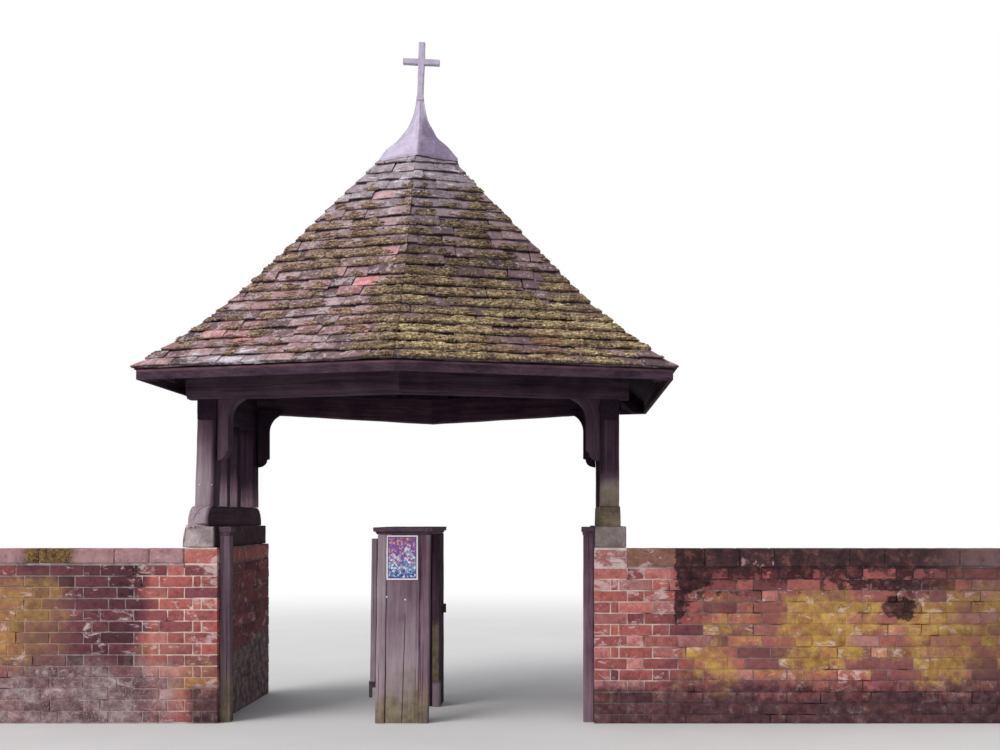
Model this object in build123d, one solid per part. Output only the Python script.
from build123d import *
import os
from math import atan, degrees, hypot

os.makedirs("parts", exist_ok=True)

# Millimetres. X runs across the gate, Y from its front to its back, Z up.
# The origin is on the ground in the middle of the passage.

# Brick walls
opening = 2520.0            # clear width between the two piers
wall = 220.0                # thickness of every brick wall, one brick long
pier_length = 1235.0        # return walls, five and a half bricks
return_height = 1177.0      # top of the bedding mortar under the kerb
wing_length = 2700.0        # twelve bricks
wing_height = 1040.0
coping_height = 127.0
coping_lip = 5.0

# Stone kerb and oak sill on each return wall
kerb_width = 210.0
kerb_height = 140.0
sill_width = 136.0
sill_height = 138.0

# Posts, balusters, side plates
post = 130.0
post_height = 585.0
frame_depth = 1000.0        # over the faces of the front and back posts
baluster = 65.0
baluster_count = 2
side_plate_height = 140.0

# Front and back plates, bent at the middle like the eaves
plate_height = 150.0
plate_thickness = 130.0
plate_proud = 70.0          # beyond the faces of the posts
plate_past = 65.0           # past the outer faces of the posts
plate_chamfer = 30.0
back_sag = 45.0             # the old back plate hangs lower in the middle

# Knee braces
brace_thickness = 60.0
brace_width = 87.0
brace_setback = 15.0
brace_foot = 415.0          # foot below the underside of the plate
brace_reach = 190.0
foot_round = 58.0
foot_step = 20.0

# Roof: an elongated hexagon in plan, one corner at the front, one behind
eave_past = 280.0           # side eaves beyond the outer faces of the posts
eave_front = 590.0          # their corners beyond the faces of the posts
eave_bend = 420.0           # front and back corners beyond those
eave_shift = 62.0           # the old eaves stand over to the right of the peak
eave_below_plate = 7.0      # top of the tile edge under the top of the plates
knee_share = 0.583          # where the straight slope ends and the bellcast starts
steep = 1.246               # fall of the straight slope
shallow = 0.72              # fall at the eave
bellcast_mean = 0.961       # mean fall from the knee to the eave
crest_half = 230.0
tile_drop = 50.0            # thickness of the tiling, measured upright

# Timbers of the roof
hip_width = 60.0
hip_drop = 150.0
joist_width = 50.0
joist_height = 100.0
joist_shares = (0.2, 0.6, 1.0)
king_width = 130.0
king_length = 620.0
tile_overhang = 35.0
fascia_thickness = 25.0
fascia_depth = 85.0

# Lead cap and cross
cap_half = 278.0
cap_rim = 18.0
cap_swell = 0.942           # the sides start up from the rim before they lean in
cap_shoulder = 165.0
cap_shoulder_rise = 163.0
cap_neck = 23.0
cap_rise = 510.0
cross_shaft = 46.0
cross_depth = 40.0
cross_height = 418.0
cross_bar = 265.0
cross_bar_height = 41.0
cross_bar_at = 285.0
cross_lean = 2.5
cross_bar_tilt = 1.9

# Gate posts beside the piers
gate_post = 72.0
gate_post_height = 1253.0
gate_post_back = 45.0
gate_cap_height = 62.0
gate_cap_lip = 12.0

# Centre stand between the two ways
stand_middle = -20.0
stand_width = 356.0
stand_depth = 870.0
stand_height = 1262.0
stand_left_post = 64.0
stand_right_post = 72.0
stand_post_depth = 64.0
board = 30.0
board_back = 6.0
board_gap = 4.0
rear_post = 58.0
rear_depth = 250.0
rear_board = 25.0
rear_board_back = 20.0
stand_cap_height = 49.0
stand_cap_lip = 24.0
stile_thickness = 32.0
stile_depth = 64.0
stile_length = 957.0
stile_below_top = 26.0
hook_reach = 52.0
hook_drop = 110.0
iron = 12.0
latch_below_top = 527.0
latch_height = 65.0
latch_width = 40.0
latch_thickness = 20.0
latch_back = 30.0
notice_width = 210.0
notice_height = 297.0
notice_thickness = 3.0
notice_below_top = 5.0

# Derived positions
pier_in = opening / 2
pier_out = pier_in + wall
wall_middle = pier_in + wall / 2
wall_front = -pier_length / 2
kerb_top = return_height + kerb_height
sill_top = kerb_top + sill_height
post_top = sill_top + post_height
side_plate_top = post_top + side_plate_height
plate_top = side_plate_top + plate_height
post_front = frame_depth / 2
eave_half = wall_middle + post / 2 + eave_past
eave_corner = post_front + eave_front
eave_point = eave_corner + eave_bend
corner_slope = eave_bend / eave_half
eave_top = plate_top - eave_below_plate
knee_half = knee_share * eave_half
knee_top = eave_top + bellcast_mean * (eave_half - knee_half)
bend_half = ((knee_top + steep * knee_half) - (eave_top + shallow * eave_half)) / (steep - shallow)
bend_top = eave_top + shallow * (eave_half - bend_half)
fascia_half = eave_half - tile_overhang
outer_joist = wall_middle - joist_width / 2
cap_foot = knee_top + steep * (knee_half - cap_half)
cap_top = cap_foot + cap_rise
far = 2 * eave_half + wing_length
roof_floor = post_top       # the roof's sections reach down to here before they are cut


def block(x0, x1, y0, y1, z0, z1):
    """An upright block between the given corners."""
    low = (min(x0, x1), min(y0, y1), min(z0, z1))
    size = (abs(x1 - x0), abs(y1 - y0), abs(z1 - z0))
    return Pos(*low) * Box(*size, align=(Align.MIN, Align.MIN, Align.MIN))


def upright(points, z0, z1):
    """A prism over a plan outline."""
    outline = make_face(Polyline(*points, close=True))
    return Pos(0, 0, z0) * extrude(outline, z1 - z0)


def frame_box(x0, x1, z0, z1):
    """A rectangle drawn in X and Z or in distance and height."""
    return make_face(Polyline((x0, z0), (x1, z0), (x1, z1), (x0, z1), close=True))


def over_depth(face, y0, y1):
    """A prism along Y over an outline drawn in X and Z."""
    plane = Plane(origin=(0, y1, 0), x_dir=(1, 0, 0), z_dir=(0, -1, 0))
    return extrude(plane * face, y1 - y0)


def both_sides(shape):
    """The shape and its mirror image across the passage."""
    return shape, mirror(shape, about=Plane.YZ)


def save(name, *solids):
    """Writes one piece, made of one solid or of several that don't touch."""
    shape = solids[0] if len(solids) == 1 else Compound(children=list(solids))
    shape.label = name
    export_step(shape, f"parts/{name}.step")


def only_solid(shape):
    """The single solid of a shape."""
    return max(shape.solids(), key=lambda s: s.volume)


# Walls
def return_wall():
    """The pier and the wall that runs back from it, right side."""
    return block(pier_in, pier_out, wall_front, -wall_front, 0, return_height)


def wing_wall():
    """The wall beyond the pier, right side."""
    return block(pier_out, pier_out + wing_length, wall_front, wall_front + wall, 0, wing_height)


def coping():
    """The coping of the wing wall with its rounded top edges, right side."""
    body = block(pier_out, pier_out + wing_length, wall_front - coping_lip,
                 wall_front + wall + coping_lip, wing_height, wing_height + coping_height)
    edges = body.edges().filter_by(Axis.X).group_by(Axis.Z)[-1]
    return fillet(edges, 0.1 * coping_height)


def kerb():
    """The stone kerb that carries the sill, right side."""
    half = kerb_width / 2
    body = block(wall_middle - half, wall_middle + half, wall_front, -wall_front,
                 return_height, kerb_top)
    return chamfer(body.edges().group_by(Axis.Z)[-1], 0.04 * kerb_height)


def sill():
    """The oak sill with rounded ends beyond the posts, right side."""
    half = sill_width / 2
    body = block(wall_middle - half, wall_middle + half, wall_front, -wall_front,
                 kerb_top, sill_top)
    ends = body.edges().filter_by(Axis.X).group_by(Axis.Z)[-1]
    return fillet(ends, min(-wall_front - post_front, 0.93 * sill_height) - 1)


# Timber frame
def front_post():
    """The front post of the right side."""
    half = post / 2
    return block(wall_middle - half, wall_middle + half, -post_front, -post_front + post,
                 sill_top, post_top)


def balusters():
    """The balusters between the two posts of the right side."""
    room = frame_depth - 2 * post
    gap = (room - baluster_count * baluster) / (baluster_count + 1)
    half = baluster / 2
    rows = []
    for i in range(baluster_count):
        y = -room / 2 + gap * (i + 1) + baluster * i
        rows.append(block(wall_middle - half, wall_middle + half, y, y + baluster,
                          sill_top, post_top))
    return rows


def side_plate():
    """The plate along the tops of the posts, right side."""
    half = post / 2
    return block(wall_middle - half, wall_middle + half, -post_front, post_front,
                 post_top, side_plate_top)


def plate_line(x):
    """Y of the face of the front plate at a distance from the middle."""
    return -post_front - plate_proud - corner_slope * (wall_middle - x)


def front_plate(sag):
    """Right half of the plate over the front posts, lower by sag in the middle."""
    end = wall_middle + post / 2 + plate_past
    plan = upright([(0, plate_line(0)), (end, plate_line(end)),
                    (end, plate_line(end) + plate_thickness),
                    (0, plate_line(0) + plate_thickness)],
                   side_plate_top - sag, plate_top)
    lower = plan.edges().group_by(Axis.Z)[0].group_by(Axis.Y)[0]
    plate = chamfer(lower, plate_chamfer)
    if sag:
        low = side_plate_top - 2 * sag
        cut = make_face(Polyline((0, side_plate_top - sag), (wall_middle - post, side_plate_top),
                                 (2 * end, side_plate_top), (2 * end, low), (0, low), close=True))
        plate = plate - over_depth(cut, -far, 0)
    return plate


def upper_side_plate(front, back):
    """The plate over the side plate, let in between the front and back plates."""
    half = post / 2
    body = block(wall_middle - half, wall_middle + half, -post_front, post_front,
                 side_plate_top, plate_top)
    return only_solid(body - front - back)


def brace(plate):
    """The curved knee between a front post and the plate, right side."""
    top = side_plate_top + plate_height / 4
    low = side_plate_top - brace_foot
    shoulder = side_plate_top - 0.36 * brace_foot
    inner = -brace_width
    toe = low + foot_round
    heel = toe + 0.4 * foot_step
    outline = [
        Line((post, low), (0, low)),
        ThreePointArc((0, low), (inner + foot_step + 0.29 * foot_round, low + 0.29 * foot_round),
                      (inner + foot_step, toe)),
        Line((inner + foot_step, toe), (inner, heel)),
        Line((inner, heel), (inner, shoulder)),
        Bezier((inner, shoulder), (inner, side_plate_top - 0.1 * brace_foot),
               (-brace_reach, side_plate_top)),
        Line((-brace_reach, side_plate_top), (-brace_reach, top)),
        Line((-brace_reach, top), (post, top)),
        Line((post, top), (post, low)),
    ]
    shape = over_depth(make_face(outline), 0, brace_thickness)
    turn = degrees(atan(corner_slope))
    x = wall_middle - post / 2
    shape = Pos(x, -post_front + brace_setback, 0) * Rot(0, 0, turn) * shape
    room = block(0, x, -far, 0, 0, side_plate_top)
    return only_solid((shape & room) - plate)


# Roof: every face has the same section, stretched or narrowed in plan to reach its
# own eave, so that the faces meet on upright hip planes.
corners = [
    (eave_shift, -eave_point),
    (eave_shift + eave_half, -eave_corner),
    (eave_shift + eave_half, eave_corner),
    (eave_shift, eave_point),
    (eave_shift - eave_half, eave_corner),
    (eave_shift - eave_half, -eave_corner),
]
face_names = ["front_right", "right", "back_right", "back_left", "left", "front_left"]


def face_frame(i):
    """Outward direction and distance of the eave of face i."""
    (ax, ay), (bx, by) = corners[i], corners[(i + 1) % 6]
    length = hypot(bx - ax, by - ay)
    nx, ny = (by - ay) / length, (ax - bx) / length
    return nx, ny, ax * nx + ay * ny


def wedge(i):
    """The sector of the plan that belongs to face i."""
    (ax, ay), (bx, by) = corners[i], corners[(i + 1) % 6]
    return upright([(0, 0), (ax * 1.3, ay * 1.3), (bx * 1.3, by * 1.3)], 0, 2 * cap_top)


def slope_top(w):
    """Height of the tiled surface on the straight upper slope."""
    return knee_top + steep * (knee_half - w)


def roof_lines(k, drop):
    """The line of the roof from crest to eave, scaled in plan by k, lowered by drop."""
    crest = (crest_half * k, slope_top(crest_half) - drop)
    knee = (knee_half * k, knee_top - drop)
    bend = (bend_half * k, bend_top - drop)
    eave = (eave_half * k, eave_top - drop)
    return crest, eave, [Line(crest, knee), Bezier(knee, bend, eave)]


def slab_face(k):
    """Section of the tiling."""
    crest, eave, top = roof_lines(k, 0)
    low_crest, low_eave, bottom = roof_lines(k, tile_drop)
    return make_face(top + bottom + [Line(crest, low_crest), Line(eave, low_eave)])


def under_face(k, drop, floor):
    """Section of everything below the line of the roof lowered by drop."""
    crest, eave, top = roof_lines(k, drop)
    return make_face(top + [Line(eave, (eave[0], floor)), Line((eave[0], floor), (0, floor)),
                            Line((0, floor), (0, crest[1])), Line((0, crest[1]), crest)])


def along_eave(i, face):
    """The section of face i run along its eave between the hips."""
    nx, ny, _ = face_frame(i)
    plane = Plane(origin=(0, 0, 0), x_dir=(nx, ny, 0), z_dir=(ny, -nx, 0))
    return extrude(plane * face, far, both=True) & wedge(i)


def narrowing(i):
    """How far face i reaches from the peak, as a share of half the width."""
    return face_frame(i)[2] / eave_half


def tiling(i):
    """The tiles of face i."""
    return only_solid(along_eave(i, slab_face(narrowing(i))))


def below_tiling():
    """The space under all six faces."""
    space = along_eave(0, under_face(narrowing(0), tile_drop, roof_floor))
    for i in range(1, 6):
        space = space + along_eave(i, under_face(narrowing(i), tile_drop, roof_floor))
    return space


def fascia(i):
    """The board under the tile ends of face i."""
    k = narrowing(i)
    strip = frame_box((fascia_half - fascia_thickness) * k, fascia_half * k,
                      eave_top - fascia_depth, knee_top)
    return along_eave(i, strip & under_face(k, tile_drop, roof_floor))


def king_post():
    """The short post at the top that the hips lean on."""
    top = slope_top(crest_half)
    half = king_width / 2
    return block(-half, half, -half, half, top - king_length, top)


def hip(i, space, others):
    """The rafter under the hip at corner i, cut to fit round the others."""
    x, y = corners[i]
    reach = hypot(x, y)
    k = reach / eave_half
    band = under_face(k, 0, roof_floor) - under_face(k, tile_drop + hip_drop, roof_floor)
    band = band & frame_box(0, fascia_half * k, eave_top - fascia_depth, cap_top)
    plane = Plane(origin=(0, 0, 0), x_dir=(x / reach, y / reach, 0),
                  z_dir=(y / reach, -x / reach, 0))
    rafter = extrude(plane * band, hip_width / 2, both=True) & space
    for other in others:
        rafter = rafter - other
    return only_solid(rafter)


def joists(space):
    """Joists on the plates that run out under the front and back eaves."""
    keep = fascia_half - fascia_thickness
    shrink = keep / eave_half
    plan = upright([(x * shrink, y * shrink) for x, y in corners], roof_floor, knee_top)
    row = []
    for share in joist_shares:
        x = share * outer_joist
        for side in (1, -1):
            bar = block(side * x - joist_width / 2, side * x + joist_width / 2,
                        -eave_point, eave_point, plate_top, plate_top + joist_height)
            row.append(only_solid(bar & space & plan))
    return row


# Lead cap and cross
def cap_face(k):
    """Section of the lead cap, scaled in plan by k."""
    seat = slope_top(crest_half)
    shoulder_top = cap_foot + cap_shoulder_rise
    left = cap_top - shoulder_top
    points = [(crest_half * k, seat), (cap_half * k, cap_foot), (cap_half * k, cap_foot + cap_rim),
              (cap_shoulder * k, shoulder_top), (cap_neck * k, cap_top), (0, cap_top)]
    shoulder = Bezier(points[2], (cap_swell * cap_half * k, cap_foot + 0.284 * cap_shoulder_rise),
                      points[3])
    neck = Bezier(points[3], (0.364 * cap_shoulder * k, shoulder_top + 0.367 * left),
                  (1.74 * cap_neck * k, cap_top - 0.374 * left), points[4])
    return make_face([Line((0, seat), points[0]), Line(points[0], points[1]),
                      Line(points[1], points[2]), shoulder, neck,
                      Line(points[4], points[5]), Line(points[5], (0, seat))])


def lead_cap():
    """The six-sided cap over the top of the tiling."""
    cap = along_eave(0, cap_face(narrowing(0)))
    for i in range(1, 6):
        cap = cap + along_eave(i, cap_face(narrowing(i)))
    return only_solid(cap)


def cross():
    """The plain cross, leaning a little to the right."""
    half = cross_shaft / 2
    deep = cross_depth / 2
    shaft = block(-half, half, -deep, deep, -cross_shaft, cross_height)
    bar = block(-cross_bar / 2, cross_bar / 2, -deep, deep,
                -cross_bar_height / 2, cross_bar_height / 2)
    bar = Pos(0, 0, cross_bar_at) * Rot(0, cross_bar_tilt, 0) * bar
    body = Pos(0, 0, cap_top) * Rot(0, cross_lean, 0) * (shaft + bar)
    return only_solid(body & block(-far, far, -far, far, cap_top, 2 * cap_top))


# Gate posts and centre stand
def moulded_block(x0, x1, y0, y1, z0, height, left, right, front, back):
    """A square moulded cap; each side spreads by its own lip."""
    def section(a, b, lip_a, lip_b):
        s, t = 0.38 * height, 0.62 * height
        return make_face([
            Line((a, z0), (a - lip_a * 0.5, z0)),
            Line((a - lip_a * 0.5, z0), (a - lip_a * 0.5, z0 + s)),
            Line((a - lip_a * 0.5, z0 + s), (a - lip_a, z0 + t)),
            Line((a - lip_a, z0 + t), (a - lip_a, z0 + height)),
            Line((a - lip_a, z0 + height), (b + lip_b, z0 + height)),
            Line((b + lip_b, z0 + height), (b + lip_b, z0 + t)),
            Line((b + lip_b, z0 + t), (b + lip_b * 0.5, z0 + s)),
            Line((b + lip_b * 0.5, z0 + s), (b + lip_b * 0.5, z0)),
            Line((b + lip_b * 0.5, z0), (a, z0)),
        ])
    along = over_depth(section(x0, x1, left, right), y0 - front, y1 + back)
    plane = Plane(origin=(x0 - left, 0, 0), x_dir=(0, 1, 0), z_dir=(1, 0, 0))
    across = extrude(plane * section(y0, y1, front, back), x1 - x0 + left + right)
    return along & across


def gate_post_right():
    """The small square post against the right pier, with its moulded cap."""
    x0 = pier_in - gate_post
    y0 = wall_front + gate_post_back
    shaft = block(x0, pier_in, y0, y0 + gate_post, 0, gate_post_height)
    lip = gate_cap_lip
    cap = moulded_block(x0, pier_in, y0, y0 + gate_post, gate_post_height, gate_cap_height,
                        lip, lip, lip, lip)
    return only_solid((shaft + cap) & block(0, pier_in, -far, far, 0, cap_top))


left_face = stand_middle - stand_width / 2
right_face = stand_middle + stand_width / 2
stand_back = wall_front + stand_depth
rear_front = stand_back - rear_depth
stile_foot = stand_height - stile_below_top - stile_length


def stand_front_posts():
    """The two uprights at the front of the stand."""
    y0, y1 = wall_front, wall_front + stand_post_depth
    return [block(left_face, left_face + stand_left_post, y0, y1, 0, stand_height),
            block(right_face - stand_right_post, right_face, y0, y1, 0, stand_height)]


def stand_front_boards():
    """The boards between the two front uprights."""
    return block(left_face + stand_left_post, right_face - stand_right_post - board_gap,
                 wall_front + board_back, wall_front + board_back + board, 0, stand_height)


def stand_rear_posts():
    """The two uprights of the rear part of the stand."""
    y0, y1 = rear_front, rear_front + rear_post
    return [block(left_face, left_face + rear_post, y0, y1, 0, stand_height),
            block(right_face - rear_post, right_face, y0, y1, 0, stand_height)]


def stand_rear_boards():
    """The boards across the rear part, one between its posts, one at the back."""
    y0 = rear_front + rear_board_back
    front = block(left_face + rear_post, right_face - rear_post, y0, y0 + rear_board,
                  0, stand_height)
    back = block(left_face + rear_board, right_face - rear_board, stand_back - rear_board,
                 stand_back, 0, stand_height)
    return [front, back]


def stand_side_boards():
    """The boards along both sides of the rear part."""
    y0, y1 = rear_front + rear_post, stand_back
    return [block(left_face, left_face + rear_board, y0, y1, 0, stand_height),
            block(right_face - rear_board, right_face, y0, y1, 0, stand_height)]


def stand_cap():
    """The moulded slab on top of the stand."""
    lip = stand_cap_lip
    return only_solid(moulded_block(left_face, right_face, wall_front, stand_back, stand_height,
                                    stand_cap_height, lip, lip, lip, lip))


def stand_stile():
    """The narrow upright fixed to the left side of the stand."""
    return block(left_face - stile_thickness, left_face, wall_front, wall_front + stile_depth,
                 stile_foot, stile_foot + stile_length)


def stand_hook():
    """The iron hook below the stile."""
    y0 = wall_front + (stile_depth - iron) / 2
    middle = stile_foot - 0.4 * hook_drop
    arm = block(left_face - hook_reach, left_face, y0, y0 + iron, middle, stile_foot)
    lug = block(left_face - hook_reach, left_face - 0.6 * hook_reach, y0, y0 + iron,
                stile_foot - hook_drop, middle)
    return only_solid(arm + lug)


def stand_latch():
    """The iron keeper on the right side of the stand."""
    top = stand_height - latch_below_top
    y1 = stand_back - latch_back
    return block(right_face, right_face + latch_thickness, y1 - latch_width, y1,
                 top - latch_height, top)


def stand_notice():
    """The sheet in its thin frame on the front boards."""
    x = (left_face + stand_left_post + right_face - stand_right_post) / 2
    y1 = wall_front + board_back
    top = stand_height - notice_below_top
    return block(x - notice_width / 2, x + notice_width / 2, y1 - notice_thickness, y1,
                 top - notice_height, top)


# Walls
for name, shape in (("return_wall", return_wall()), ("wing_wall", wing_wall()),
                    ("coping", coping()), ("kerb", kerb())):
    right, left = both_sides(shape)
    save("right_" + name, right)
    save("left_" + name, left)

# Timber frame
save("sills", *both_sides(sill()))
save("side_plates", *both_sides(side_plate()))
first = front_post()
for prefix, shape in (("front", first), ("back", mirror(first, about=Plane.XZ))):
    right, left = both_sides(shape)
    save(prefix + "_right_post", right)
    save(prefix + "_left_post", left)
for name, row in (("right", balusters()), ("left", [mirror(b, about=Plane.YZ)
                                                    for b in balusters()])):
    save(name + "_balusters", *row)
front = front_plate(0)
back = mirror(front_plate(back_sag), about=Plane.XZ)
for prefix, shape in (("front", front), ("back", back)):
    right, left = both_sides(shape)
    save(prefix + "_right_plate", right)
    save(prefix + "_left_plate", left)
save("upper_side_plates", *both_sides(upper_side_plate(front, back)))
save("front_braces", *both_sides(brace(front)))
back_brace = mirror(brace(mirror(back, about=Plane.XZ)), about=Plane.XZ)
save("back_braces", *both_sides(back_brace))

# Roof
space = below_tiling()
king = king_post()
joist_row = joists(space)
save("ceiling_joists", *joist_row)
save("king_post", king)
for i, name in enumerate(face_names):
    save("tiling_" + name, tiling(i))
front_fascia = only_solid(fascia(5) + fascia(0))
back_fascia = only_solid(fascia(2) + fascia(3))
side_fascias = [only_solid(fascia(1)), only_solid(fascia(4))]
save("front_fascia", front_fascia)
save("back_fascia", back_fascia)
save("side_fascias", *side_fascias)
cut_by = [king, front_fascia, back_fascia] + side_fascias + joist_row
save("hip_rafters", *[hip(i, space, cut_by) for i in range(6)])
save("lead_cap", lead_cap())
save("cross", cross())

# Gate posts and centre stand
save("gate_posts", *both_sides(gate_post_right()))
save("stand_front_posts", *stand_front_posts())
save("stand_front_boards", stand_front_boards())
save("stand_rear_posts", *stand_rear_posts())
save("stand_rear_boards", *stand_rear_boards())
save("stand_side_boards", *stand_side_boards())
save("stand_cap", stand_cap())
save("stand_stile", stand_stile())
save("stand_hook", stand_hook())
save("stand_latch", stand_latch())
save("stand_notice", stand_notice())
